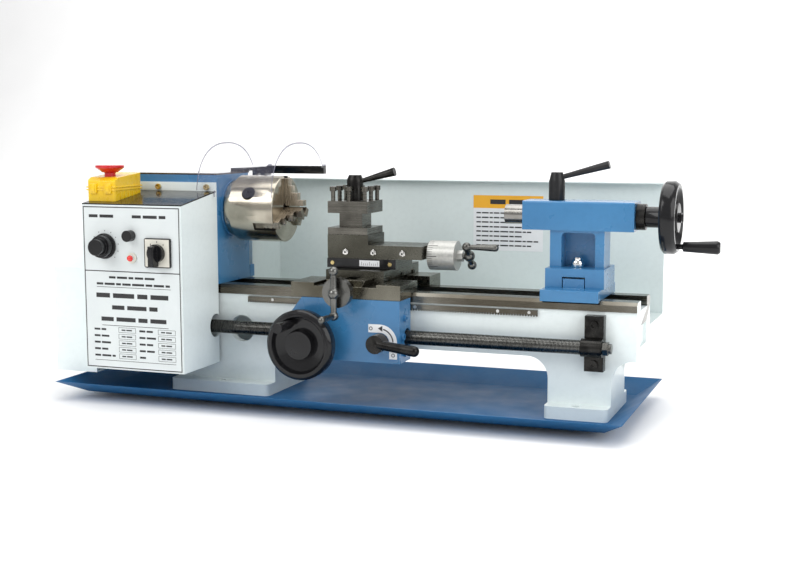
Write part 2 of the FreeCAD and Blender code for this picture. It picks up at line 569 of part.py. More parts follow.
def makeCarriage():
    low, deck = -5.0, 8.5
    front, rear = -80.0, 62.0
    body = join(box(saddleLeft, saddleRight, front, -wayHalf - 0.3, low, deck),
                box(saddleLeft, saddleRight, -wayHalf - 0.3, -22, slideFit, deck),
                box(saddleLeft, saddleRight, 22, rear, slideFit, deck),
                box(146, 214, -22, 22, slideFit, deck),
                box(saddleLeft, saddleRight, wayHalf + 0.3, rear, -11.3, deck))
    wings = [box(saddleLeft, 142, front, rear, deck, 12), box(218, saddleRight, front, rear, deck, 12)]
    wings = [less(wing, box(100, 260, -22, 22, 0, 20)) for wing in wings]
    rail = dovetail(slideCentreX, 20, 24, deck, 16, front + 2, rear, "Y")
    trough = box(173, 187, -66, 58, -1, 17)
    bore = rod(3.5 + runFit, (slideCentreX, front - 1, crossAxisZ), (slideCentreX, rear + 1, crossAxisZ))
    parts["saddle"] = less(join(body, rail, *wings), trough, bore)
    parts["saddle_retainer"] = box(130, 230, 40.4, 56, -17, -11.3)

    apronTop, apronLow = low, -76.0
    shell = box(112, saddleRight, -82, -46, apronLow, apronTop)
    corner = prism([(111, -83, -26), (111, -83, -4), (128, -83, -4)], (0, 40, 0))
    room = box(118, 241, -76, -45, apronLow + 6, apronTop + 1)
    screwRoom = rod(10.5, (110, screwY, screwZ), (250, screwY, screwZ))
    sleeveRoom = rod(13, (slideCentreX, -84, crossAxisZ), (slideCentreX, -79, crossAxisZ))
    wheelBore = rod(6 + runFit, (wheelCentre[0], -83, wheelCentre[1]), (wheelCentre[0], -60, wheelCentre[1]))
    pinionBore = rod(4 + runFit, (pinionX(), -80, pinionZ), (pinionX(), -60, pinionZ))
    leverBore = rod(6 + runFit, (223.6, -83, -52.5), (223.6, -70, -52.5))
    apron = less(shell, corner, room, screwRoom, sleeveRoom, wheelBore, pinionBore, leverBore)
    seats = [(saddleRight, -66, -26), (saddleRight, -74, -46), (saddleRight, -66, -66)]
    parts["apron"] = drilled(apron, 2, 5, seats, (1, 0, 0))
    parts["apron_screws"] = group(*[socketScrew(4, 3, 2, 5, seat, (1, 0, 0)) for seat in seats])

    x, z = wheelCentre
    profile = [(0, -115), (16, -115), (18, -108), (30, -110), (33, -115), (37, -115), (40, -112),
               (40, -101), (37, -98), (33, -98), (30, -101), (12, -99), (12, -83), (0, -83)]
    disc = Part.Face(Part.makePolygon([vec(x + r, y, z) for r, y in profile + profile[:1]]))
    disc = disc.revolve(vec(x, 0, z), vec(0, 1, 0), 360)
    shaft = rod(6, (x, -84, z), (x, -68.5, z))
    handleX, handleZ = x - 10, z + 24
    stemRoom = rod(3, (handleX, -120, handleZ), (handleX, -104, handleZ))
    parts["carriage_wheel"] = less(join(disc, shaft), stemRoom)
    parts["carriage_wheel_gear"] = standing(20, x, z, -75, -69, 0, 6)
    parts["carriage_handle"] = join(rod(3, (handleX, -120, handleZ), (handleX, -105, handleZ)),
                                    taper(6, 5, (handleX, -148, handleZ), (handleX, -115.4, handleZ)))
    gearPhase = meshed((20, (0, 0), 0.0), (40, (-(pinionX() - x), pinionZ - z)))
    big = standing(40, pinionX(), pinionZ, -75, -69, gearPhase, 3.9)
    small = standing(16, pinionX(), pinionZ, -44.2, -40.6, pi / 2, 3.9)
    parts["rack_pinion"] = join(big, small, rod(4, (pinionX(), -79.5, pinionZ), (pinionX(), -40.6, pinionZ)))

    lx, lz = 223.6, -52.5
    hub = join(rod(10.5, (lx, -100, lz), (lx, -82.4, lz)), rod(6, (lx, -83, lz), (lx, -69, lz)),
               rod(12, (lx, -75.4, lz), (lx, -69, lz)))
    arm = join(taper(5, 6, (lx, -95, lz), (lx + 49, -106, lz - 3.5)), ball(6, (lx + 49, -106, lz - 3.5)))
    parts["half_nut_lever"] = join(hub, arm)
    nutOpen = 4.0
    for name, sign in (("upper_half_nut", 1), ("lower_half_nut", -1)):
        edge = screwZ + sign * (nutOpen + 0.1)
        far = edge + sign * 12
        block = box(198, 218, -67, -48, min(edge, far), max(edge, far))
        centre = screwZ + sign * nutOpen
        parts[name] = less(block, rod(8.15, (197, screwY, centre), (219, screwY, centre)))


def ballCrank(centre, axis, arm, reach, back):
    # a hub with two balls on tapered arms; a tapered grip stands on the second ball
    centre, axis, arm = vec(*centre), vec(*axis), vec(*arm)
    high, low = centre + arm * reach, centre - arm * back
    shape = [Part.makeSphere(6.5, centre), Part.makeSphere(5.4, high), Part.makeSphere(5.4, low)]
    for end in (high, low):
        shape.append(Part.makeCone(4.2, 3.2, (end - centre).Length, centre, end - centre))
    shape.append(Part.makeCone(2.6, 4.2, 34, low, axis))
    shape.append(Part.makeSphere(4.2, low + axis * 34))
    return join(*shape)


def makeCrossSlide():
    front, rear, top = -50.0, 70.0, 24.0
    low = 8.5 + slideFit
    left, right = 144.0, 216.0
    groove = dovetail(slideCentreX, 20.2, 24.2, low - 0.2, 16 + slideFit, front - 1, rear + 1, "Y")
    outline = [(20.2, low - 0.2), (24.2, 16 + slideFit), (28, 16 + slideFit), (24, low - 0.2)]
    gibRoom = prism([(slideCentreX + x, front - 1, z) for x, z in outline], (0, rear - front + 2, 0))
    pivot = rod(12 + runFit, (slideCentreX, 0, 18), (slideCentreX, 0, 25))
    seats = [(right, y, 14) for y in (-30, 10, 50)]
    body = less(box(left, right, front, rear, low, top), groove, gibRoom, pivot)
    parts["cross_slide"] = drilled(body, 2, 7.8, seats, (1, 0, 0))
    parts["cross_gib"] = prism([(slideCentreX + 20.3, front, low), (slideCentreX + 24.3, front, 16),
                                (slideCentreX + 27.9, front, 16), (slideCentreX + 23.9, front, low)],
                               (0, rear - front, 0))
    nut = box(176, 184, -8, 8, 0.6, 16.1)
    nut = less(nut, rod(3.5 + runFit, (slideCentreX, -10, crossAxisZ), (slideCentreX, 10, crossAxisZ)))
    parts["cross_nut"] = nut
    parts["cross_gib_screws"] = group(*[socketScrew(3, 1.6, 2, 7.8, seat, (1, 0, 0)) for seat in seats])

    x, z = slideCentreX, crossAxisZ
    sleeve = taper(15, 11, (x, -94.6, z), (x, -80, z))
    parts["cross_screw_bracket"] = less(sleeve, rod(3.5 + runFit, (x, -96, z), (x, -79, z)))
    dial = join(rod(17, (x, -105, z), (x, -95, z)), rod(6, (x, -112, z), (x, -105, z)))
    parts["cross_dial"] = less(dial, rod(3.5, (x, -113, z), (x, -94, z)))
    parts["cross_screw"] = rod(3.5, (x, -112, z), (x, 60, z))
    crank = ballCrank((x, -112, z), (0, -1, 0), (0, 0, 1), 25, 25)
    parts["cross_crank"] = less(crank, rod(6, (x, -112, z), (x, -104, z)), rod(17, (x, -105, z), (x, -95, z)),
                                rod(3.5, (x, -112.01, z), (x, -90, z)))


def makeCompound():
    low, deck = 24.2, 36.0
    left, right = 137.0, 223.0
    base = join(box(left, right, -28, 28, low, deck),
                rod(12, (slideCentreX, 0, 18.2), (slideCentreX, 0, low + 1)))
    rail = dovetail(0, 11, 14, deck, 44, left, right, "X")
    trough = box(left - 1, right + 1, -5, 5, 34, 45)
    parts["compound_base"] = less(join(base, rail), trough)
    parts["scale_plate"] = box(left, right, -30, -28, low + 0.3, deck - 0.5)
    rivets = [rod(2.4, (x, -31, 30), (x, -30, 30)) for x in (left + 7, right - 7)]
    parts["scale_plate_rivets"] = group(*rivets)
    screwRoom = rod(3.5 + runFit, (189, 0, compoundAxisZ), (201, 0, compoundAxisZ))
    parts["compound_nut"] = less(box(190, 200, -5, 5, 34, 44), screwRoom)

    slideLeft, slideRight, top = 136.5, 254.0, 51.5
    floor = deck + slideFit
    slab = box(slideLeft, slideRight, -27, 26, floor, top)
    block = box(slideLeft, 187.6, -27, 26, top, 63)
    groove = dovetail(0, 11.2, 14.2, deck - 0.1, 44 + slideFit, slideLeft - 1, slideRight + 1, "X")
    gibRoom = prism([(slideLeft - 1, -11.2, deck - 0.1), (slideLeft - 1, -14.2, 44 + slideFit),
                     (slideLeft - 1, -17.5, 44 + slideFit), (slideLeft - 1, -14.5, deck - 0.1)],
                    (slideRight - slideLeft + 2, 0, 0))
    stud = rod(6, (postX, 0, 58), (postX, 0, 114))
    seats = [(x, -27, 43) for x in (160, 195, 231)]
    body = less(join(slab, block), groove, gibRoom, stud)
    parts["compound_slide"] = drilled(body, 2, 9.2, seats, (0, -1, 0))
    parts["tool_post_stud"] = stud
    parts["compound_gib"] = prism([(slideLeft, -11.3, floor), (slideLeft, -14.3, 44), (slideLeft, -17.4, 44),
                                   (slideLeft, -14.4, floor)], (slideRight - slideLeft, 0, 0))
    parts["compound_gib_screws"] = group(*[socketScrew(3, 1.6, 2, 9.2, seat, (0, -1, 0)) for seat in seats])
    z = compoundAxisZ
    sleeve = less(rod(13, (slideRight, 0, z), (slideRight + 2, 0, z)),
                  rod(3.5 + runFit, (slideRight - 1, 0, z), (slideRight + 4, 0, z)))
    parts["compound_bearing"] = less(sleeve, box(slideRight - 1, slideRight + 3, -14, 14, 20, 36.2))
    dial = rod(17.2, (slideRight + 2.4, 0, z), (289, 0, z))
    nut = hexagon(289, 7, 6.5, (0, z), 30)
    parts["compound_dial"] = less(join(dial, nut), rod(3.5, (slideRight, 0, z), (300, 0, z)))
    parts["compound_screw"] = rod(3.5, (150, 0, z), (302, 0, z))
    crank = ballCrank((303, 0, z), (1, 0, 0), (0, 0.69, -0.72), 16, 16)
    parts["compound_crank"] = less(crank, rod(3.5, (290, 0, z), (302, 0, z)),
                                   rod(17.2, (280, 0, z), (296, 0, z)))


def makeToolPost():
    half, low, high = 25.0, 63.1, 102.0

    def square(size, z0, z1):
        return box(postX - size, postX + size, -size, size, z0, z1)

    body = join(square(half, low, 71), square(14.5, 71, 88), square(half, 88, high))
    places = [(x, y) for x in (-20, 0, 20) for y in (-20, 0, 20) if x or y]
    holes = [rod(2.5, (postX + x, y, 87), (postX + x, y, 103)) for x, y in places]
    parts["tool_post"] = less(body, rod(6 + runFit, (postX, 0, 60), (postX, 0, 104)), *holes)
    parts["tool_post_screws"] = group(*[socketScrew(4, 5.5, 2.5, 25.5, (postX + x, y, 113.5), (0, 0, 1))
                                        for x, y in places])
    hub = join(taper(9.5, 10, (postX, 0, high + 0.3), (postX, 0, 126)),
               taper(10, 7.5, (postX, 0, 126), (postX, 0, 132)))
    arm = taper(2.2, 5.2, (postX + 2, 0, 123.4), (postX + 50, 0, 136.5))
    parts["tool_post_lever"] = less(join(hub, arm), rod(6 + runFit, (postX, 0, 100), (postX, 0, 114.5)))


# Tailstock

def makeTailstock():
    axis = centreHeight
    lowBase = join(box(399, 464, -50, 46, slideFit, 11.3), box(399, 464, -50, -wayHalf - 0.3, -1.5, 11.3),
                   box(420, 444, -30, 30, 11.3, 22))
    stud = rod(5, (432, -8, -15), (432, -8, 44))
    parts["tailstock_base"] = less(lowBase, rod(5, (432, -8, -2), (432, -8, 23)))
    foot = less(box(400, 466, -30, 30, 11.3, 33), box(419, 445, -31, 31, 11.3, 24))
    neck = box(402, 463, -17, 17, 33, 75)
    window = rounded(box(415, 453, -18, 6, 33, 72), 5, lambda p: p.z > 71 and abs(p.x - 434) > 15)
    block = rounded(box(370.5, 495.7, -20, 20, 74.4, 106.7), 2.5, lambda p: abs(p.y) > 19 and p.z > 106)
    body = less(join(foot, neck, block), window, stud)
    bore = rod(quillRadius + runFit, (369, 0, axis), (497, 0, axis))
    lockRoom = rod(4.05, (405, 0, axis), (405, 0, 108))
    parts["tailstock_body"] = less(body, bore, lockRoom)
    parts["tailstock_clamp"] = join(stud, less(ball(7.5, (432, -8, 36.5)), box(420, 444, -20, 4, 20, 33)),
                                    box(416, 448, -28, 28, -22, -15))

    socket = taper(9.0, 7.3, (346.9, 0, axis), (398, 0, axis))
    keyway = box(400, 440, -1.5, 1.5, axis - 12, axis - 8.5)
    parts["quill"] = less(rod(quillRadius, (347, 0, axis), (452, 0, axis)), socket, keyway,
                          rod(4.1, (390, 0, axis), (453, 0, axis)))
    parts["tailstock_cap"] = less(rod(14.5, (495.7, 0, axis), (505.7, 0, axis)),
                                  rod(4 + runFit, (495, 0, axis), (507, 0, axis)))
    hub = rod(11.5, (506, 0, axis), (526, 0, axis))
    profile = [(0, 524), (12, 524), (30, 527), (33, 524), (37, 524), (40, 527), (40, 537),
               (37, 541), (33, 541), (30, 536), (18, 534), (16, 541), (0, 541)]
    disc = Part.Face(Part.makePolygon([vec(x, 0, axis + r) for r, x in profile + profile[:1]]))
    disc = disc.revolve(vec(0, 0, axis), vec(1, 0, 0), 360)
    screw = rod(4, (400, 0, axis), (546, 0, axis))
    grip = axis - 31.5
    parts["tailstock_wheel"] = less(join(hub, disc), screw, rod(3, (530, 0, grip), (547, 0, grip)))
    parts["tailstock_screw"] = join(screw, rod(5.5, (541, 0, axis), (544, 0, axis)))
    parts["tailstock_handle"] = join(rod(3 - runFit, (532, 0, grip), (546, 0, grip)),
                                     taper(5.5, 7.5, (546, 0, grip), (583, 0, grip)),
                                     taper(7.5, 5.5, (583, 0, grip), (586, 0, grip)))
    post = join(rod(9, (405, 0, 107), (405, 0, 128)), taper(9, 6.5, (405, 0, 128), (405, 0, 138)),
                rod(4, (405, 0, 101.3), (405, 0, 108)), taper(2.8, 4.6, (412, 0, 133), (464, 0, 147)))
    parts["quill_lock_lever"] = post


makeTray()
makeBed()
makeHeadstock()
makeChuck()
makeDrive()
makeGearCover()
makeControls()
makeLeadScrew()
makeGuards()
makeCarriage()
makeCrossSlide()
makeCompound()
makeToolPost()
makeTailstock()

# Small pieces of one body share the node of the piece that they belong to
sharing = {
    "rack": ["rack_screws"],
    "headstock_cover": ["guard_bracket"],
    "spindle": ["spindle_pulley", "spindle_gear"],
    "chuck_body": ["chuck_backplate"],
    "motor": ["motor_bracket"],
    "motor_rotor": ["motor_shaft", "motor_pulley"],
    "cover_screws": ["gear_cover_screws", "control_box_screws", "splash_guard_screws"],
    "control_panel": ["fuse_holder", "lamp_bezel", "pilot_lamp", "switch_plate"],
    "control_electronics": ["control_board", "speed_control", "reversing_switch"],
    "stop_housing": ["stop_base", "stop_lid"],
    "lead_screw": ["lead_screw_gear"],
    "lead_screw_brackets": ["left_screw_bracket", "right_screw_bracket", "bracket_screws"],
    "saddle": ["saddle_retainer", "cross_screw_bracket"],
    "apron": ["apron_screws"],
    "carriage_wheel": ["carriage_wheel_gear"],
    "cross_slide": ["cross_gib", "cross_gib_screws", "cross_nut"],
    "cross_crank": ["cross_dial", "cross_screw"],
    "compound_base": ["compound_nut", "scale_plate", "scale_plate_rivets"],
    "compound_slide": ["compound_gib", "compound_gib_screws", "compound_bearing", "tool_post_stud"],
    "compound_crank": ["compound_dial", "compound_screw"],
    "tool_post": ["tool_post_screws"],
    "tailstock_fittings": ["tailstock_clamp", "tailstock_cap"],
    "tailstock_wheel": ["tailstock_screw"],
}
nodes = {}
shared = [name for names in sharing.values() for name in names]
for name, shape in parts.items():
    if name not in shared:
        nodes[name] = [shape]
for name, members in sharing.items():
    nodes[name] = nodes.get(name, []) + [parts[member] for member in members]

whole = Part.makeCompound(list(parts.values())).BoundBox
toFloor = vec(-whole.Center.x, -whole.Center.y, -whole.ZMin)
os.makedirs("parts", exist_ok=True)
for name, shapes in nodes.items():
    solids = [solid for shape in shapes for solid in shape.Solids]
    node = solids[0] if len(solids) == 1 else group(*solids)
    node.translate(toFloor)
    node.exportStep("parts/%s.step" % name)
print(len(nodes), "nodes of", len(parts), "pieces, moved by", toFloor)
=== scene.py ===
import json
from math import cos, hypot, pi, radians, sin

import bmesh
import bpy
from mathutils import Euler, Matrix, Vector


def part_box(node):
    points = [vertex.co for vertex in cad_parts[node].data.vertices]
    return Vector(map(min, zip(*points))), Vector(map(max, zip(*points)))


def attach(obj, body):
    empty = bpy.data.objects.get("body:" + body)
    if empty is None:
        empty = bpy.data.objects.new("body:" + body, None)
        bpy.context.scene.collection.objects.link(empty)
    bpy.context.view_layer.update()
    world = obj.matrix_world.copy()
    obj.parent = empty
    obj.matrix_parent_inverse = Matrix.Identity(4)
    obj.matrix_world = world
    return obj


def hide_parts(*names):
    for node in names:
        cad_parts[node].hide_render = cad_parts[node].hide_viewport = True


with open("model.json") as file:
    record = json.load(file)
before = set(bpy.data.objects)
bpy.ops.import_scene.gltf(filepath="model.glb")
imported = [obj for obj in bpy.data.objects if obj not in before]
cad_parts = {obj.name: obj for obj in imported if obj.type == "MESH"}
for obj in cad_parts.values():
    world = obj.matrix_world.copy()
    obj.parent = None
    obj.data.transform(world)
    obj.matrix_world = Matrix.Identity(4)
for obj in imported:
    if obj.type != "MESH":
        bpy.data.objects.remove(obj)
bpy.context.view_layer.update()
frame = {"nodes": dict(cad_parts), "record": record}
nodeBody = {node: body for body, nodes in frame["record"]["behaviour"]["bodies"].items() for node in nodes}
print("frame loaded:", len(frame["nodes"]), "nodes")

# Places are in millimetres from the headstock's right face, the spindle's line and the top of the ways
bedLow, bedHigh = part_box("lathe_bed")
zero = Vector((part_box("headstock")[0][0] + 0.132, (bedLow[1] + bedHigh[1]) / 2, bedHigh[2]))
spindleZ = 90


def at(x, y, z):
    return zero + Vector((x, y, z)) / 1000


def onLathe(place):
    return (place - zero) * 1000


# Small tools for building materials

def addNode(tree, kind, **settings):
    node = tree.nodes.new("ShaderNode" + kind)
    for key, value in settings.items():
        setattr(node, key, value)
    return node


def feed(tree, socket, value):
    # a number or colour is set on the socket itself, anything else is linked to it
    if isinstance(value, bpy.types.NodeSocket):
        tree.links.new(value, socket)
    else:
        socket.default_value = value


def math(tree, operation, first, second=0.0):
    node = addNode(tree, "Math", operation=operation)
    feed(tree, node.inputs[0], first)
    feed(tree, node.inputs[1], second)
    return node.outputs[0]


def placeOf(tree, centre=None, stretch=(1, 1, 1)):
    # Object coordinates, measured from a centre and stretched along the axes
    centre = centre or zero
    mapping = addNode(tree, "Mapping")
    tree.links.new(addNode(tree, "TexCoord").outputs["Object"], mapping.inputs["Vector"])
    mapping.inputs["Location"].default_value = [-c * s for c, s in zip(centre, stretch)]
    mapping.inputs["Scale"].default_value = stretch
    return mapping.outputs[0]


def noise(tree, scale, detail=2.0, stretch=(1, 1, 1), vector=None):
    node = addNode(tree, "TexNoise")
    node.inputs["Scale"].default_value = scale
    node.inputs["Detail"].default_value = detail
    tree.links.new(vector or placeOf(tree, None, stretch), node.inputs["Vector"])
    return node.outputs[0]


def between(tree, value, low, high, fromLow=0.3, fromHigh=0.7):
    node = addNode(tree, "MapRange")
    tree.links.new(value, node.inputs["Value"])
    node.inputs["From Min"].default_value = fromLow
    node.inputs["From Max"].default_value = fromHigh
    node.inputs["To Min"].default_value = low
    node.inputs["To Max"].default_value = high
    return node.outputs[0]


def mixed(tree, factor, first, second):
    node = addNode(tree, "Mix", data_type="RGBA")
    feed(tree, node.inputs[0], factor)
    for socket, colour in ((node.inputs[6], first), (node.inputs[7], second)):
        feed(tree, socket, colour if isinstance(colour, bpy.types.NodeSocket) else (*colour, 1))
    return node.outputs[2]


def bumped(tree, shader, height, strength, depth):
    node = addNode(tree, "Bump")
    node.inputs["Strength"].default_value = strength
    node.inputs["Distance"].default_value = depth
    tree.links.new(height, node.inputs["Height"])
    tree.links.new(node.outputs[0], shader.inputs["Normal"])


def around(tree, centre, axis):
    # sockets for the place along an axis, the radius from it and the angle about it
    parts = addNode(tree, "SeparateXYZ")
    tree.links.new(placeOf(tree, centre), parts.inputs[0])
    order = {"x": (0, 1, 2), "y": (1, 0, 2), "z": (2, 0, 1)}[axis]
    along, first, second = [parts.outputs[n] for n in order]
    radius = math(tree, "SQRT", math(tree, "ADD", math(tree, "MULTIPLY", first, first),
                                     math(tree, "MULTIPLY", second, second)))
    return along, radius, math(tree, "ARCTAN2", second, first)


def newMaterial(name, **constants):
    material = bpy.data.materials.new(name)
    material.use_nodes = True
    tree = material.node_tree
    shader = tree.nodes["Principled BSDF"]
    for key, value in constants.items():
        shader.inputs[key.replace("_", " ")].default_value = value
    return material, tree, shader


finishes = {}


def enamel(name, light, dark, gloss=(0.24, 0.36), peel=0.10, coat=0.35, shine=0.5):
    # sprayed enamel: orange peel, faint clouds of shade and a fine mottle
    material, tree, shader = newMaterial(name, Coat_Weight=coat, Coat_Roughness=0.12,
                                         Specular_IOR_Level=shine)
    cloud = between(tree, noise(tree, 7, 3), 0, 1)
    mottle = between(tree, noise(tree, 160, 2), 0, 0.18, 0.45, 0.7)
    colour = mixed(tree, cloud, dark, light)
    tree.links.new(mixed(tree, mottle, colour, [c * 0.86 for c in dark]), shader.inputs["Base Color"])
    tree.links.new(between(tree, noise(tree, 30, 3), *gloss), shader.inputs["Roughness"])
    bumped(tree, shader, noise(tree, 380, 2), peel, 0.0005)
    finishes[name] = material


def groundSteel(name, bright, oily, rough=(0.2, 0.42), stretch=(6, 260, 260), stain=9, metal=1.0):
    # ground or milled steel: fine lines along one axis under a film of oil
    material, tree, shader = newMaterial(name, Metallic=metal)
    lines = noise(tree, 4, 4, stretch)
    film = between(tree, noise(tree, stain, 4), 0, 1, 0.36, 0.64)
    lined = mixed(tree, between(tree, lines, 0, 1), [c * 0.78 for c in bright], bright)
    tree.links.new(mixed(tree, film, lined, oily), shader.inputs["Base Color"])
    smeared = between(tree, film, 0, 0.07, 0, 1)
    tree.links.new(math(tree, "ADD", between(tree, lines, rough[0], rough[1]), smeared),
                   shader.inputs["Roughness"])
    bumped(tree, shader, lines, 0.09, 0.0004)
    finishes[name] = material


def turnedSteel(name, bright, oily, centre, axis="x", rough=(0.14, 0.30), pitch=2600):
    # turned steel: tool marks that run round the axis
    material, tree, shader = newMaterial(name, Metallic=1.0)
    along, radius, angle = around(tree, centre, axis)
    join = addNode(tree, "CombineXYZ")
    tree.links.new(math(tree, "MULTIPLY", along, pitch), join.inputs[0])
    tree.links.new(math(tree, "MULTIPLY", radius, pitch), join.inputs[1])
    tree.links.new(math(tree, "MULTIPLY", angle, 0.35), join.inputs[2])
    marks = noise(tree, 1.0, 3, vector=join.outputs[0])
    film = between(tree, noise(tree, 26, 4), 0, 0.8, 0.42, 0.68)
    lined = mixed(tree, between(tree, marks, 0, 1), [c * 0.80 for c in bright], bright)
    tree.links.new(mixed(tree, film, lined, oily), shader.inputs["Base Color"])
    tree.links.new(between(tree, marks, *rough), shader.inputs["Roughness"])
    bumped(tree, shader, marks, 0.10, 0.00025)
    finishes[name] = material


def plainMetal(name, bright, worn, rough=(0.10, 0.26), metal=1.0, scale=60, bump=0.05):
    # polished, plated or blackened metal with smears and small pits
    material, tree, shader = newMaterial(name, Metallic=metal)
    smear = between(tree, noise(tree, scale, 4), 0, 1, 0.38, 0.66)
    tree.links.new(mixed(tree, smear, bright, worn), shader.inputs["Base Color"])
    tree.links.new(between(tree, noise(tree, scale * 1.7, 4), *rough), shader.inputs["Roughness"])
    bumped(tree, shader, noise(tree, 700, 2), bump, 0.0003)
    finishes[name] = material


def moulded(name, light, dark, rough=(0.18, 0.32), coat=0.3, grainScale=900, bump=0.06, shine=0.5):
    # moulded plastic or rubber: fine surface grain and faint flow marks
    material, tree, shader = newMaterial(name, Coat_Weight=coat, Coat_Roughness=0.08,
                                         Specular_IOR_Level=shine)
    flow = between(tree, noise(tree, 34, 3), 0, 1)
    tree.links.new(mixed(tree, flow, dark, light), shader.inputs["Base Color"])
    tree.links.new(between(tree, noise(tree, 120, 3), *rough), shader.inputs["Roughness"])
    bumped(tree, shader, noise(tree, grainScale, 2), bump, 0.0003)
    finishes[name] = material


def clearSheet(name, tint, alpha, rough):
    # clear bent sheet with faint wiping marks
    material, tree, shader = newMaterial(name, Alpha=alpha, IOR=1.3)
    wiped = noise(tree, 6, 4, (40, 6, 6))
    tree.links.new(mixed(tree, between(tree, wiped, 0, 1), tint, [c * 0.93 for c in tint]),
                   shader.inputs["Base Color"])
    tree.links.new(between(tree, wiped, rough, rough + 0.06), shader.inputs["Roughness"])
    bumped(tree, shader, wiped, 0.02, 0.0002)
    finishes[name] = material


def graduated(name, centre, axis, divisions, band):
    # a light metal dial: short and long division lines round its rim within a band along the axis
    material, tree, shader = newMaterial(name, Metallic=0.55)
    along, radius, angle = around(tree, centre, axis)
    turns = math(tree, "MULTIPLY", angle, divisions / (2 * pi))
    inBand = math(tree, "MULTIPLY", math(tree, "GREATER_THAN", along, band[0]),
                  math(tree, "LESS_THAN", along, band[1]))
    short = math(tree, "LESS_THAN", math(tree, "PINGPONG", turns, 0.5), 0.09)
    longer = math(tree, "LESS_THAN", math(tree, "PINGPONG", math(tree, "MULTIPLY", turns, 0.2), 0.5), 0.03)
    middle = (band[0] + band[1]) / 2
    shortMarks = math(tree, "MULTIPLY", short, math(tree, "LESS_THAN", along, middle))
    marks = math(tree, "MAXIMUM", shortMarks, longer)
    ink = math(tree, "MULTIPLY", math(tree, "MULTIPLY", marks, inBand),
               math(tree, "GREATER_THAN", radius, 0.0155))
    fine = noise(tree, 5, 3, (60, 60, 60))
    metal = mixed(tree, between(tree, fine, 0, 1), (0.40, 0.40, 0.38), (0.50, 0.50, 0.47))
    tree.links.new(mixed(tree, ink, metal, (0.03, 0.03, 0.03)), shader.inputs["Base Color"])
    tree.links.new(between(tree, fine, 0.30, 0.44), shader.inputs["Roughness"])
    bumped(tree, shader, fine, 0.05, 0.0003)
    finishes[name] = material


enamel("blueEnamel", (0.044, 0.200, 0.41), (0.033, 0.160, 0.345))
# painted shade: the tray's blue is darker than the enamel elsewhere, standing for the shadow under the bed
enamel("trayEnamelPaintedShade", (0.020, 0.130, 0.30), (0.014, 0.098, 0.24), (0.42, 0.55), 0.06, 0.0, 0.10)
enamel("paleEnamel", (0.83, 0.90, 0.895), (0.79, 0.865, 0.865), (0.3, 0.42))
# painted shade: a uniformly darker copy of the pale enamel that tones down the light on the splash guard
enamel("guardEnamelPaintedShade", (0.69, 0.765, 0.755), (0.65, 0.725, 0.72), (0.3, 0.42))
enamel("blackEnamel", (0.016, 0.016, 0.018), (0.010, 0.010, 0.011), (0.20, 0.34), 0.14)
# painted reflection: the cover's gloss black carries a brown tint standing for the yellow stop housing
# mirrored in it
enamel("blackWithPaintedReflection", (0.050, 0.032, 0.018), (0.022, 0.016, 0.011), (0.06, 0.14), 0.04)
groundSteel("waySteel", (0.22, 0.21, 0.18), (0.09, 0.08, 0.062), (0.13, 0.30))
groundSteel("slideSteel", (0.20, 0.195, 0.165), (0.075, 0.072, 0.058), (0.15, 0.34), (240, 6, 240))
groundSteel("saddleSteel", (0.24, 0.23, 0.19), (0.10, 0.092, 0.07), (0.14, 0.32), (240, 6, 240))
groundSteel("postSteel", (0.21, 0.20, 0.175), (0.085, 0.08, 0.07), (0.14, 0.32), (6, 6, 260), 22)
groundSteel("jawSteel", (0.46, 0.40, 0.32), (0.20, 0.17, 0.13), (0.18, 0.34), (200, 200, 8), 40)
groundSteel("gearSteel", (0.42, 0.40, 0.36), (0.22, 0.20, 0.17), (0.28, 0.46), (200, 20, 20), 30)
turnedSteel("chuckSteel", (0.50, 0.46, 0.38), (0.19, 0.17, 0.135), at(0, 0, spindleZ), rough=(0.12, 0.24))
turnedSteel("quillSteel", (0.34, 0.33, 0.31), (0.20, 0.19, 0.17), at(0, 0, spindleZ), rough=(0.16, 0.28))
turnedSteel("screwSteel", (0.19, 0.19, 0.18), (0.09, 0.088, 0.08), at(0, -57, -49), rough=(0.20, 0.34))
plainMetal("chrome", (0.78, 0.77, 0.75), (0.58, 0.57, 0.55), (0.06, 0.16), 1.0, 45, 0.03)
plainMetal("zinc", (0.60, 0.60, 0.58), (0.38, 0.38, 0.36), (0.20, 0.36))
plainMetal("brass", (0.66, 0.52, 0.24), (0.46, 0.35, 0.15), (0.18, 0.34))
plainMetal("bronze", (0.52, 0.36, 0.17), (0.34, 0.23, 0.11), (0.26, 0.42))
plainMetal("blackedSteel", (0.034, 0.033, 0.031), (0.014, 0.0135, 0.013), (0.22, 0.38), 0.9, 80, 0.09)
# painted shade: a near-black, rough finish put in bores, holes and sockets where shade falls
moulded("paintedRecessShade", (0.014, 0.013, 0.012), (0.006, 0.006, 0.005), (0.6, 0.8), 0.0, 300, 0.05, 0.08)
moulded("glossBlack", (0.010, 0.010, 0.011), (0.005, 0.005, 0.006), (0.14, 0.24), 0.25, 300, 0.03, 0.22)
moulded("satinBlack", (0.015, 0.015, 0.016), (0.008, 0.008, 0.009), (0.30, 0.42), 0.05, 900, 0.06, 0.3)
moulded("blackRubber", (0.028, 0.028, 0.028), (0.016, 0.016, 0.016), (0.62, 0.78), 0.0, 600, 0.2)
moulded("yellowPlastic", (0.86, 0.58, 0.012), (0.80, 0.50, 0.008), (0.22, 0.34))
moulded("redPlastic", (0.62, 0.010, 0.018), (0.52, 0.007, 0.012), (0.18, 0.28))
moulded("redLens", (0.80, 0.016, 0.010), (0.55, 0.008, 0.006), (0.05, 0.10), 0.8, 300, 0.02)
moulded("creamPlastic", (0.72, 0.70, 0.62), (0.66, 0.64, 0.56), (0.28, 0.40), 0.1)
moulded("panelFilm", (0.70, 0.745, 0.745), (0.66, 0.705, 0.71), (0.34, 0.46), 0.1, 1200, 0.03)
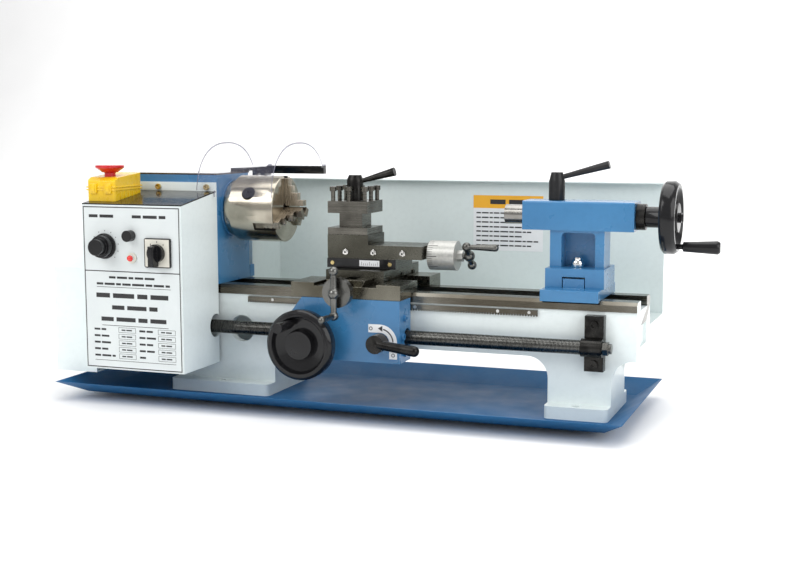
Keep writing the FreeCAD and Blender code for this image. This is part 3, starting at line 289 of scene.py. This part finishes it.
moulded("ink", (0.022, 0.022, 0.024), (0.014, 0.014, 0.015), (0.34, 0.44), 0.05)
moulded("labelWhite", (0.82, 0.83, 0.84), (0.76, 0.78, 0.80), (0.30, 0.42), 0.1)
moulded("labelYellow", (0.88, 0.44, 0.02), (0.82, 0.39, 0.015), (0.30, 0.42), 0.1)
moulded("circuitGreen", (0.02, 0.17, 0.07), (0.012, 0.12, 0.05), (0.3, 0.5), 0.3, 260, 0.2)
clearSheet("clearSheet", (0.30, 0.30, 0.40), 0.075, 0.03)
# painted shade: the sheet's cut edges are a dark, nearly opaque grey standing for the darkening seen along a
# clear edge
clearSheet("sheetEdgePaintedShade", (0.22, 0.22, 0.29), 0.80, 0.10)
graduated("crossDial", at(180, -95, 4.6), "y", 40, (-0.0085, -0.0005))
graduated("compoundDial", at(256.4, 0, 40), "x", 40, (0.0005, 0.012))
print("materials made:", len(finishes))


# CAD nodes get softened edges: a merged copy with a bevel stands for the node

def islandsOf(mesh):
    # the separate solids of a mesh, each as its faces and the middle of its box
    left, found = set(mesh.faces), []
    while left:
        stack = [left.pop()]
        faces = [stack[0]]
        while stack:
            for edge in stack.pop().edges:
                for face in edge.link_faces:
                    if face in left:
                        left.remove(face)
                        stack.append(face)
                        faces.append(face)
        corners = [onLathe(vert.co) for face in faces for vert in face.verts]
        low = Vector([min(c[n] for c in corners) for n in range(3)])
        high = Vector([max(c[n] for c in corners) for n in range(3)])
        found.append((faces, (low + high) / 2, high - low))
    return found


def toObject(mesh, name, materials, body, bevel=0.0, angle=32):
    data = bpy.data.meshes.new(name)
    mesh.to_mesh(data)
    mesh.free()
    piece = bpy.data.objects.new(name, data)
    bpy.context.scene.collection.objects.link(piece)
    for material in materials:
        data.materials.append(finishes[material])
    for face in data.polygons:
        face.use_smooth = True
    data.set_sharp_from_angle(angle=radians(angle))
    if bevel:
        edge = piece.modifiers.new("softEdge", "BEVEL")
        edge.width = bevel / 1000
        edge.segments = 2
        edge.limit_method = "ANGLE"
        edge.angle_limit = radians(38)
        edge.harden_normals = True
        edge.use_clamp_overlap = True
    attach(piece, body)
    return piece


def dress(node, materials, choose=None, bevel=0.5, drop=None):
    # choose gives the material's number from a face's place, its direction and its solid's middle and size
    mesh = bmesh.new()
    mesh.from_mesh(frame["nodes"][node].data)
    bmesh.ops.remove_doubles(mesh, verts=mesh.verts, dist=0.00002)
    bmesh.ops.dissolve_limit(mesh, angle_limit=radians(0.5), verts=mesh.verts, edges=mesh.edges)
    for face in mesh.faces:
        face.material_index = 0
    if choose:
        for faces, middle, size in islandsOf(mesh):
            for face in faces:
                place = onLathe(face.calc_center_median())
                face.material_index = choose(place, face.normal, middle, size)
    if drop:
        gone = [face for face in mesh.faces if drop(onLathe(face.calc_center_median()))]
        bmesh.ops.delete(mesh, geom=gone, context="FACES")
    piece = toObject(mesh, node + "_finish", materials, nodeBody[node], bevel)
    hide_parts(node)
    return piece


def fromSpindle(place):
    return hypot(place.y, place.z - spindleZ)


def bedFinish(place, facing, middle, size):
    return 1 if place.z > -11.7 and abs(place.y) > 19.5 else 0


# painted shade: the inner faces of the chuck body near its axis, its bore and jaw slots, get the near-black
# recess finish
def chuckFinish(place, facing, middle, size):
    return 1 if fromSpindle(place) < 39.2 and facing.x < 0.5 and 27 < place.x < 70 else 0


def boxScrewFinish(place, facing, middle, size):
    return 1 if middle.z > 110 and middle.y < -40 else 0


panelParts = dict(film=-131.85, bezelFront=-133.9, reach=8, fuse=(-66, 64), lamp=(-65, 38))


def panelFinish(place, facing, middle, size):
    # the fuse holder, lamp and switch plate stand out in front of the printed film
    if place.y > panelParts["film"]:
        return 0
    fuse, lamp = [hypot(place.x - x, place.z - z) < panelParts["reach"]
                  for x, z in (panelParts["fuse"], panelParts["lamp"])]
    if lamp and not fuse:
        return 3 if place.y < panelParts["bezelFront"] else 2
    return 1


def slideFinish(place, facing, middle, size):
    # bright gib screws and nut, the rest as the slide
    small = size.x < 12 and size.z < 9 and size.y < 12
    return int(small or place.y < -27.1 and size.y > 40 and size.x > 100)


def baseFinish(place, facing, middle, size):
    if middle.y < -29.5:
        return 2
    if middle.y < -27:
        return 1
    return 0


def crossFinish(place, facing, middle, size):
    if middle.y > -60:
        return 2
    return 1 if middle.y > -110 else 0


def compoundFinish(place, facing, middle, size):
    if size.x > 100:
        return 2
    return 1 if middle.x < 290 else 0


def fittingFinish(place, facing, middle, size):
    if middle.x > 480:
        return 1
    return 0 if place.z > 22 else 2


plainDress = {
    # the tray's enamel carries painted shade from the bed above it
    "chip_tray": dict(materials=["trayEnamelPaintedShade"], bevel=0.4),
    "rubber_feet": dict(materials=["blackRubber"], bevel=0.8),
    "lathe_bed": dict(materials=["paleEnamel", "waySteel"], choose=bedFinish, bevel=0.7),
    "rack": dict(materials=["waySteel", "zinc"], choose=lambda p, n, m, s: int(s.x < 20), bevel=0.0),
    "headstock": dict(materials=["blueEnamel"], bevel=1.0),
    # the large cover plate gets black with a painted brown reflection, the small parts plain black enamel
    "headstock_cover": dict(materials=["blackWithPaintedReflection", "blackEnamel"], choose=lambda p, n, m, s: int(s.x < 60),
                            bevel=0.6),
    "gear_cover": dict(materials=["paleEnamel"], bevel=0.8),
    "cover_screws": dict(materials=["zinc", "brass"], choose=boxScrewFinish, bevel=0.25),
    "control_box": dict(materials=["paleEnamel"], bevel=0.7),
    "control_box_top": dict(materials=["glossBlack"], bevel=0.4),
    "control_panel": dict(materials=["panelFilm", "satinBlack", "creamPlastic", "redLens"],
                          choose=panelFinish, bevel=0.2),
    "stop_housing": dict(materials=["yellowPlastic"], bevel=0.6),
    "stop_button": dict(materials=["redPlastic"], bevel=1.0),
    "speed_knob": dict(materials=["glossBlack"], bevel=0.8),
    "switch_knob": dict(materials=["glossBlack"], bevel=0.6),
    "chuck_body": dict(materials=["chuckSteel", "paintedRecessShade"], choose=chuckFinish, bevel=0.4),
    "chuck_jaw_1": dict(materials=["jawSteel"], bevel=0.35),
    "chuck_jaw_2": dict(materials=["jawSteel"], bevel=0.35),
    "chuck_jaw_3": dict(materials=["jawSteel"], bevel=0.35),
    # the pinions down in their holes in the chuck are painted shade all over
    "chuck_pinion_1": dict(materials=["paintedRecessShade"], bevel=0.3),
    "chuck_pinion_2": dict(materials=["paintedRecessShade"], bevel=0.3),
    "chuck_pinion_3": dict(materials=["paintedRecessShade"], bevel=0.3),
    "motor": dict(materials=["satinBlack", "paleEnamel"], choose=lambda p, n, m, s: int(m.y < 70), bevel=0.8),
    "lead_screw_brackets": dict(materials=["blackedSteel", "zinc"], choose=lambda p, n, m, s: int(s.x < 12),
                                bevel=0.6),
    # the splash guard wears the pale enamel darkened as painted shade
    "splash_guard": dict(materials=["guardEnamelPaintedShade"], bevel=0.4),
    "guard_bar": dict(materials=["glossBlack"], bevel=0.6),
    "saddle": dict(materials=["saddleSteel"], bevel=0.5),
    "apron": dict(materials=["blueEnamel", "zinc"], choose=lambda p, n, m, s: int(s.z < 20), bevel=1.0),
    "carriage_wheel": dict(materials=["glossBlack", "gearSteel"], choose=lambda p, n, m, s: int(s.z < 40),
                           bevel=0.6),
    "carriage_handle": dict(materials=["glossBlack"], bevel=0.8),
    "half_nut_lever": dict(materials=["blackedSteel"], bevel=0.6),
    "cross_slide": dict(materials=["slideSteel", "zinc"], choose=slideFinish, bevel=0.5),
    "cross_crank": dict(materials=["chrome", "crossDial", "screwSteel"], choose=crossFinish, bevel=0.3),
    "compound_base": dict(materials=["slideSteel", "glossBlack", "brass"], choose=baseFinish, bevel=0.4),
    "compound_slide": dict(materials=["slideSteel", "zinc"], choose=slideFinish, bevel=0.5),
    "compound_crank": dict(materials=["chrome", "compoundDial", "screwSteel"], choose=compoundFinish,
                           bevel=0.3),
    "tool_post": dict(materials=["postSteel", "blackedSteel"], choose=lambda p, n, m, s: int(s.x < 20),
                      bevel=0.6),
    "tool_post_lever": dict(materials=["blackedSteel"], bevel=0.5),
    "tailstock_base": dict(materials=["blueEnamel"], bevel=0.8),
    "tailstock_body": dict(materials=["blueEnamel"], bevel=0.8),
    "tailstock_fittings": dict(materials=["chrome", "blackedSteel", "gearSteel"], choose=fittingFinish,
                               bevel=0.5),
    "quill": dict(materials=["quillSteel"], bevel=0.4),
    "tailstock_wheel": dict(materials=["glossBlack", "screwSteel"], choose=lambda p, n, m, s: int(s.z < 20),
                            bevel=0.6),
    "tailstock_handle": dict(materials=["glossBlack"], bevel=0.8),
    "quill_lock_lever": dict(materials=["satinBlack"], bevel=0.6),
}
for node, settings in plainDress.items():
    dress(node, **settings)
print("nodes with softened edges:", len(plainDress))

# Pieces inside the covers keep their CAD shape
insideNodes = {
    "spindle": "chuckSteel", "spindle_bearings": "gearSteel", "chuck_scroll": "gearSteel",
    "motor_rotor": "gearSteel", "drive_belt": "blackRubber", "idler_gear": "gearSteel",
    "stud_gear": "gearSteel", "middle_gear": "gearSteel", "gear_bracket": "zinc",
    "control_electronics": "circuitGreen",
    "rack_pinion": "gearSteel", "upper_half_nut": "bronze", "lower_half_nut": "bronze",
}
for node, finish in insideNodes.items():
    data = frame["nodes"][node].data
    data.materials.clear()
    data.materials.append(finishes[finish])


# Clear guard: faces across the sheet get the painted shade of its edge

def guardFinish(place, facing, middle, size):
    return 1 if abs(facing.x) > 0.9 or (place.z < 108 and facing.z < -0.8) else 0


dress("chuck_guard", ["clearSheet", "sheetEdgePaintedShade"], guardFinish, bevel=0.0)


# Lead screw: its plain cylinder is opened and a thread is wound in its place

leadScrew = dict(y=-57, z=-49, start=-12, end=447.5, root=6.9, crest=8.0, pitch=1.5, steps=20)


def makeThread(place):
    centre = at(0, place["y"], place["z"])
    turns = int((place["end"] - place["start"]) / place["pitch"])
    mesh = bmesh.new()
    points = [(0, place["root"]), (0.35, place["crest"]), (0.75, place["crest"]), (1.1, place["root"]),
              (place["pitch"], place["root"])]
    verts = [mesh.verts.new(at(place["start"] + x, place["y"], place["z"] + r)) for x, r in points]
    edges = [mesh.edges.new(pair) for pair in zip(verts, verts[1:])]
    bmesh.ops.spin(mesh, geom=verts + edges, cent=centre, axis=(1, 0, 0), angle=2 * pi,
                   dvec=(place["pitch"] / place["steps"] / 1000, 0, 0), steps=place["steps"])
    turn = mesh.verts[:] + mesh.edges[:] + mesh.faces[:]
    for n in range(1, turns):
        copied = bmesh.ops.duplicate(mesh, geom=turn)["geom"]
        bmesh.ops.translate(mesh, vec=(n * place["pitch"] / 1000, 0, 0),
                            verts=[item for item in copied if isinstance(item, bmesh.types.BMVert)])
    bmesh.ops.remove_doubles(mesh, verts=mesh.verts, dist=0.00001)
    bmesh.ops.recalc_face_normals(mesh, faces=mesh.faces)
    return mesh


def onThread(place):
    radius = hypot(place.y - leadScrew["y"], place.z - leadScrew["z"])
    return 7 < radius < 9 and leadScrew["start"] + 0.5 < place.x < leadScrew["end"] - 0.5


dress("lead_screw", ["screwSteel", "gearSteel"], lambda p, n, m, s: int(s.x < 20), 0.3, onThread)
toObject(makeThread(leadScrew), "lead_screw_thread", ["screwSteel"], "lead_screw",
         angle=50)
print("lead screw threaded")


# Printed marks and labels: thin plates on a face that looks towards -Y

def plate(mesh, x0, x1, z0, z1, y, thick, material=0):
    made = bmesh.ops.create_cube(mesh, size=1)["verts"]
    middle = at((x0 + x1) / 2, y - thick / 2, (z0 + z1) / 2)
    bmesh.ops.scale(mesh, vec=Vector((x1 - x0, thick, z1 - z0)) / 1000, verts=made)
    bmesh.ops.translate(mesh, vec=middle, verts=made)
    for face in {face for vert in made for face in vert.link_faces}:
        face.material_index = material


panelMarks = dict(
    y=-131.8, left=-130, right=-2, low=-93, high=97, divider=21, line=1.1,
    print=((-122, -86, 86, 5.4), (-64, -18, 86, 5.4), (-97, -36, 14.4, 4.0), (-114, -16, 6.6, 4.0),
           (-115, -14, -7, 8.4), (-94, -33, -21, 7.6), (-109, -19, -35, 7.6)),
    rules=((-114, -15, 2.6, 3.1), (-108, -19, -42.8, -42.2), (-119, -10, -84.6, -84.1)),
    table=dict(top=-47.5, step=7.8, rows=5, tall=3.6, boxTall=3, boxLine=0.35, boxTextTall=2.4,
               columns=((-119, (16, 20, 24, 18, 28), -86, -63), (-58, (18, 22, 18, 20, 8), -33, -10))),
    switch=dict(x=-30, z=45, half=15.8, proud=3, marks=(-40, 0, 40), radius=13),
    dial=dict(x=-101, z=51, radius=18, marks=11, first=-135, step=27))


def bars(mesh, x0, x1, z, tall, y, material=0):
    # plain bars stand for a line of print: no letters
    x, n = x0, 0
    while x < x1 - tall:
        long = min(tall * (2.2, 3.4, 1.6, 2.8, 4.0)[n % 5], x1 - x)
        plate(mesh, x, x + long, z - tall * 0.32, z + tall * 0.32, y, 0.12, material)
        x, n = x + long + tall * 0.5, n + 1


def frameOf(mesh, x0, x1, z0, z1, line, y):
    for a, b, c, d in ((x0, x1, z1 - line, z1), (x0, x1, z0, z0 + line), (x0, x0 + line, z0, z1),
                       (x1 - line, x1, z0, z1)):
        plate(mesh, a, b, c, d, y, 0.12)


def makePanelMarks(place):
    mesh = bmesh.new()
    y, line = place["y"], place["line"]
    frameOf(mesh, place["left"], place["right"], place["low"], place["high"], line, y)
    plate(mesh, place["left"], place["right"], place["divider"], place["divider"] + line, y, 0.12)
    for x0, x1, z, tall in place["print"]:
        bars(mesh, x0, x1, z, tall, y)
    for x0, x1, z0, z1 in place["rules"]:
        plate(mesh, x0, x1, z0, z1, y, 0.12)
    table = place["table"]
    for row in range(table["rows"]):
        z = table["top"] - row * table["step"]
        for start, widths, boxLeft, boxRight in table["columns"]:
            bars(mesh, start, start + widths[row], z, table["tall"], y)
            frameOf(mesh, boxLeft, boxRight, z - table["boxTall"], z + table["boxTall"], table["boxLine"], y)
            bars(mesh, boxLeft + 4, boxRight - 5, z, table["boxTextTall"], y)
    switch = place["switch"]
    half, front = switch["half"], y - switch["proud"]
    x, z = switch["x"], switch["z"]
    plate(mesh, x - half, x + half, z - half, z + half, front, 0.15, 1)
    for turn in switch["marks"]:
        x = switch["x"] + switch["radius"] * sin(radians(turn))
        z = switch["z"] + switch["radius"] * cos(radians(turn))
        plate(mesh, x - 0.4, x + 0.4, z - 1, z + 1, front - 0.15, 0.1)
    dial = place["dial"]
    for n in range(dial["marks"]):
        turn = radians(dial["first"] + n * dial["step"])
        x, z = dial["x"] + dial["radius"] * sin(turn), dial["z"] + dial["radius"] * cos(turn)
        plate(mesh, x - 0.5, x + 0.5, z - 0.5, z + 0.5, y, 0.12)
    return mesh


toObject(makePanelMarks(panelMarks), "control_panel_marks", ["ink", "creamPlastic"], "bed")


# Small moulded, turned and folded details

stopTrim = dict(seams=(0.42, 0.52), proud=0.9, seamTall=1.6, catch=(9, 3.2, 12), catches=(0.24, 0.76),
                catchHeight=0.47, ribs=5, firstRib=0.2, ribStep=0.15, ribHeight=0.22, ribTall=0.26)


def block(mesh, middle, size, soft):
    # a small block with rounded edges
    made = bmesh.ops.create_cube(mesh, size=1)["verts"]
    bmesh.ops.scale(mesh, vec=Vector(size) / 1000, verts=made)
    bmesh.ops.translate(mesh, vec=at(*middle), verts=made)
    edges = list({edge for vert in made for edge in vert.link_edges})
    bmesh.ops.bevel(mesh, geom=edges, offset=soft / 1000, segments=2, profile=0.5, affect="EDGES",
                    material=-1)


def makeStopTrim(place):
    mesh = bmesh.new()
    low, high = [onLathe(corner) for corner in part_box("stop_housing")]
    middle, size = (low + high) / 2, high - low
    # a seam flange round the lid, catches on its front and ribs at its ends
    proud = place["proud"]
    for share in place["seams"]:
        block(mesh, (middle.x, middle.y, low.z + share * size.z),
              (size.x + 2 * proud, size.y + 2 * proud, place["seamTall"]), 0.5)
    wide, deep, tall = place["catch"]
    for share in place["catches"]:
        x, z = low.x + share * size.x, low.z + place["catchHeight"] * size.z
        block(mesh, (x, low.y - deep / 2 + 0.8, z), (wide, deep, tall), 0.8)
        block(mesh, (x, low.y - deep + 0.5, z), (wide - 4, 1, tall - 5), 0.3)
    for n in range(place["ribs"]):
        y = low.y + (place["firstRib"] + place["ribStep"] * n) * size.y
        z = low.z + place["ribHeight"] * size.z
        for x in (high.x + 0.2, low.x - 0.2):
            block(mesh, (x, y, z), (1.4, 1.8, place["ribTall"] * size.z), 0.4)
    return mesh


toObject(makeStopTrim(stopTrim), "stop_housing_trim", ["yellowPlastic"], "bed")

leverLabel = dict(x=223.6, z=-52.5, y=-82, inner=11, outer=20.4, tabs=((209.5, 223.6, -41.5, -32.1),
                                                                      (234.6, 244, -71, -52.5)),
                  arrow=dict(inner=14.9, outer=16.3, start=4, sweep=72), head=dict(x=221, z=-36.7, steps=6),
                  rings=((212.5, -37), (239.3, -66.5)), ringInner=1.4, ringOuter=2.2)


def arcBand(mesh, place, inner, outer, start, sweep, y, thick, material):
    # a flat ring sector that looks towards -Y, from an angle above +X, sweeping upwards
    centre = at(place["x"], y, place["z"])
    turn = radians(start)
    ends = [centre + Vector((r * cos(turn), 0, r * sin(turn))) / 1000 for r in (inner, outer)]
    verts = [mesh.verts.new(end) for end in ends]
    edge = mesh.edges.new(verts)
    made = bmesh.ops.spin(mesh, geom=verts + [edge], cent=centre, axis=(0, -1, 0), angle=radians(sweep),
                          steps=18)
    last = [item for item in made["geom_last"] if isinstance(item, bmesh.types.BMVert)]
    faces = {face for vert in last for face in vert.link_faces}
    stack = list(faces)
    while stack:
        for side in stack.pop().edges:
            for face in side.link_faces:
                if face not in faces:
                    faces.add(face)
                    stack.append(face)
    raised = bmesh.ops.extrude_face_region(mesh, geom=list(faces))["geom"]
    moved = [item for item in raised if isinstance(item, bmesh.types.BMVert)]
    bmesh.ops.translate(mesh, vec=(0, -thick / 1000, 0), verts=moved)
    touched = faces | {face for vert in moved for face in vert.link_faces}
    for face in touched:
        face.material_index = material


def makeLeverLabel(place):
    mesh = bmesh.new()
    y, inked = place["y"], place["y"] - 0.15
    arcBand(mesh, place, place["inner"], place["outer"], 0, 90, y, 0.15, 0)
    for x0, x1, z0, z1 in place["tabs"]:
        plate(mesh, x0, x1, z0, z1, y, 0.15, 0)
    arrow, head = place["arrow"], place["head"]
    arcBand(mesh, place, arrow["inner"], arrow["outer"], arrow["start"], arrow["sweep"], inked, 0.1, 1)
    for n in range(head["steps"]):
        x, half = head["x"] + n * 0.9, 0.2 + n * 0.55
        plate(mesh, x, x + 1, head["z"] - half, head["z"] + half, inked, 0.1, 1)
    for x, z in place["rings"]:
        arcBand(mesh, dict(x=x, z=z), place["ringInner"], place["ringOuter"], 0, 359.9, inked, 0.1, 1)
    bmesh.ops.recalc_face_normals(mesh, faces=mesh.faces)
    return mesh


toObject(makeLeverLabel(leverLabel), "apron_label", ["labelWhite", "ink"], "carriage")

gibNuts = dict(places=((160, -27, 43), (195, -27, 43), (231, -27, 43)), radius=4.0, tall=2.5, screw=2.1,
               out=1.3, socket=0.8, wall=0.9)


def makeGibNuts(place):
    # lock nuts on the adjusting screws of the top slide, each with a socket in its screw's end
    mesh = bmesh.new()
    for x, y, z in place["places"]:
        nut = (place["radius"], place["tall"], 6, 0)
        screw = (place["screw"], place["tall"] + place["out"], 24, place["socket"])
        for radius, depth, sides, sink in (nut, screw):
            made = bmesh.ops.create_cone(mesh, cap_ends=True, segments=sides, radius1=radius / 1000,
                                         radius2=radius / 1000, depth=depth / 1000)["verts"]
            bmesh.ops.rotate(mesh, matrix=Matrix.Rotation(radians(90), 3, "X"), verts=made)
            bmesh.ops.translate(mesh, vec=at(x, y - depth / 2, z), verts=made)
            front = min({face for vert in made for face in vert.link_faces},
                        key=lambda face: face.calc_center_median().y)
            if sink:
                bmesh.ops.inset_individual(mesh, faces=[front], thickness=place["wall"] / 1000)
                pushed = bmesh.ops.extrude_discrete_faces(mesh, faces=[front])["faces"]
                bmesh.ops.translate(mesh, vec=(0, sink / 1000, 0), verts=list(pushed[0].verts))
                # the socket in each screw's end is painted shade
                for face in pushed + [face for edge in pushed[0].edges for face in edge.link_faces]:
                    face.material_index = 1
            else:
                bmesh.ops.bevel(mesh, geom=list(front.edges), offset=0.0005, segments=2, profile=0.5,
                                affect="EDGES", material=-1)
    return mesh


toObject(makeGibNuts(gibNuts), "compound_gib_nuts", ["chrome", "paintedRecessShade"], "compound_slide")

guardEnd = dict(left=-58, right=-4.6, low=-14, high=121, y=138, thick=1.3, fold=11)


def makeGuardEnd(place):
    # the folded end of the splash guard behind the headstock
    mesh = bmesh.new()
    thick, fold = place["thick"], place["fold"]
    wide, tall = place["right"] - place["left"], place["high"] - place["low"]
    x, z = (place["left"] + place["right"]) / 2, (place["low"] + place["high"]) / 2
    block(mesh, (x, place["y"] - thick / 2, z), (wide, thick, tall), 0.4)
    block(mesh, (place["left"] + 0.7, place["y"] - fold / 2, z), (thick, fold, tall), 0.4)
    return mesh


# the guard's end has the same painted shade as the guard
toObject(makeGuardEnd(guardEnd), "splash_guard_end", ["guardEnamelPaintedShade"], "bed")

guardLabel = dict(y=136.5, left=266, right=356, low=34, high=103, header=16, headerTall=9, rows=8,
                  rowStep=5.8, rowTall=2.6)


def makeGuardLabel(place):
    mesh = bmesh.new()
    left, right, low, high, y = [place[key] for key in ("left", "right", "low", "high", "y")]
    plate(mesh, left, right, low, high, y, 0.15, 0)
    plate(mesh, left, right, high - place["header"], high, y - 0.15, 0.1, 2)
    bars(mesh, left + 22, right - 6, high - place["header"] / 2, place["headerTall"], y - 0.25, 1)
    for row in range(place["rows"]):
        z = high - place["header"] - 6 - row * place["rowStep"]
        bars(mesh, left + 4, right - 6 - 9 * (row % 3), z, place["rowTall"], y - 0.15, 1)
    return mesh


toObject(makeGuardLabel(guardLabel), "splash_guard_label", ["labelWhite", "ink", "labelYellow"], "bed")

slideLabel = dict(y=-30, left=178, right=203, low=27, high=34, marks=9, step=2.5, long=4.4, short=2.6)


def makeSlideLabel(place):
    mesh = bmesh.new()
    y = place["y"]
    plate(mesh, place["left"], place["right"], place["low"], place["high"], y, 0.15)
    for n in range(place["marks"]):
        tall = place["short"] if n % 4 else place["long"]
        x, z = place["left"] + place["step"] * (n + 1), place["low"] + 1
        plate(mesh, x, x + 0.3, z, z + tall, y - 0.15, 0.1, 1)
    return mesh


toObject(makeSlideLabel(slideLabel), "compound_scale", ["labelWhite", "ink"], "compound_base")
print("labels printed")

# Camera, floor and light
cameraSettings = dict(place=(740.6, -1419.4, 191.6), yaw=20.4, pitch=-7.2, roll=0.1, lens=58.6)
cameraData = bpy.data.cameras.new("camera")
cameraData.lens = cameraSettings["lens"]
cameraData.sensor_width = 36
camera = bpy.data.objects.new("camera", cameraData)
bpy.context.scene.collection.objects.link(camera)
camera.location = at(*cameraSettings["place"])
camera.rotation_euler = Euler((radians(90 + cameraSettings["pitch"]), radians(cameraSettings["roll"]),
                               radians(cameraSettings["yaw"])), "XYZ")
bpy.context.scene.camera = camera

floorSettings = dict(width=16, near=-6, far=5, bend=1.6, height=6)


def makeFloor(place):
    mesh = bmesh.new()
    reach, bend = place["far"] - place["bend"], place["bend"]
    outline = [(place["near"], 0), (reach, 0)]
    outline += [(reach + bend * sin(radians(a)), bend - bend * cos(radians(a))) for a in range(10, 90, 10)]
    outline += [(place["far"], bend), (place["far"], place["height"])]
    verts = [mesh.verts.new((-place["width"] / 2, y, z)) for y, z in outline]
    edges = [mesh.edges.new(pair) for pair in zip(verts, verts[1:])]
    made = bmesh.ops.extrude_edge_only(mesh, edges=edges)["geom"]
    moved = [item for item in made if isinstance(item, bmesh.types.BMVert)]
    bmesh.ops.translate(mesh, vec=(place["width"], 0, 0), verts=moved)
    bmesh.ops.recalc_face_normals(mesh, faces=mesh.faces)
    return mesh


floorData = bpy.data.meshes.new("floor")
floorMesh = makeFloor(floorSettings)
floorMesh.to_mesh(floorData)
floorMesh.free()
for face in floorData.polygons:
    face.use_smooth = True
floor = bpy.data.objects.new("floor", floorData)
bpy.context.scene.collection.objects.link(floor)
material, tree, shader = newMaterial("floorPaint")
tree.links.new(mixed(tree, between(tree, noise(tree, 2, 2), 0, 1), (0.90, 0.90, 0.90), (0.93, 0.93, 0.93)),
               shader.inputs["Base Color"])
tree.links.new(between(tree, noise(tree, 5, 2), 0.55, 0.65), shader.inputs["Roughness"])
floorData.materials.append(material)

lamps = {
    "keyLight": dict(place=(-1.3, -1.9, 1.9), size=1.6, power=32, aim=(0, 0, 0.15)),
    "fillLight": dict(place=(2.1, -0.9, 1.2), size=1.8, power=24, aim=(0, 0, 0.15)),
    "topLight": dict(place=(0.1, 0.3, 2.3), size=2.2, power=38, aim=(0, 0, 0.15)),
    "backdropLight": dict(place=(-0.9, 2.2, 2.8), size=4.0, power=150, aim=(0, 5, 1.2)),
}
for name, settings in lamps.items():
    data = bpy.data.lights.new(name, "AREA")
    data.shape = "SQUARE"
    data.size = settings["size"]
    data.energy = settings["power"]
    lamp = bpy.data.objects.new(name, data)
    bpy.context.scene.collection.objects.link(lamp)
    lamp.location = settings["place"]
    aim = Vector(settings["aim"]) - lamp.location
    lamp.rotation_euler = aim.to_track_quat("-Z", "Y").to_euler()

world = bpy.data.worlds.new("studio")
world.use_nodes = True
world.node_tree.nodes["Background"].inputs["Color"].default_value = (1.0, 1.0, 1.0, 1)
world.node_tree.nodes["Background"].inputs["Strength"].default_value = 0.55
bpy.context.scene.world = world
bpy.context.scene.view_settings.view_transform = "Standard"

print("scene finished")
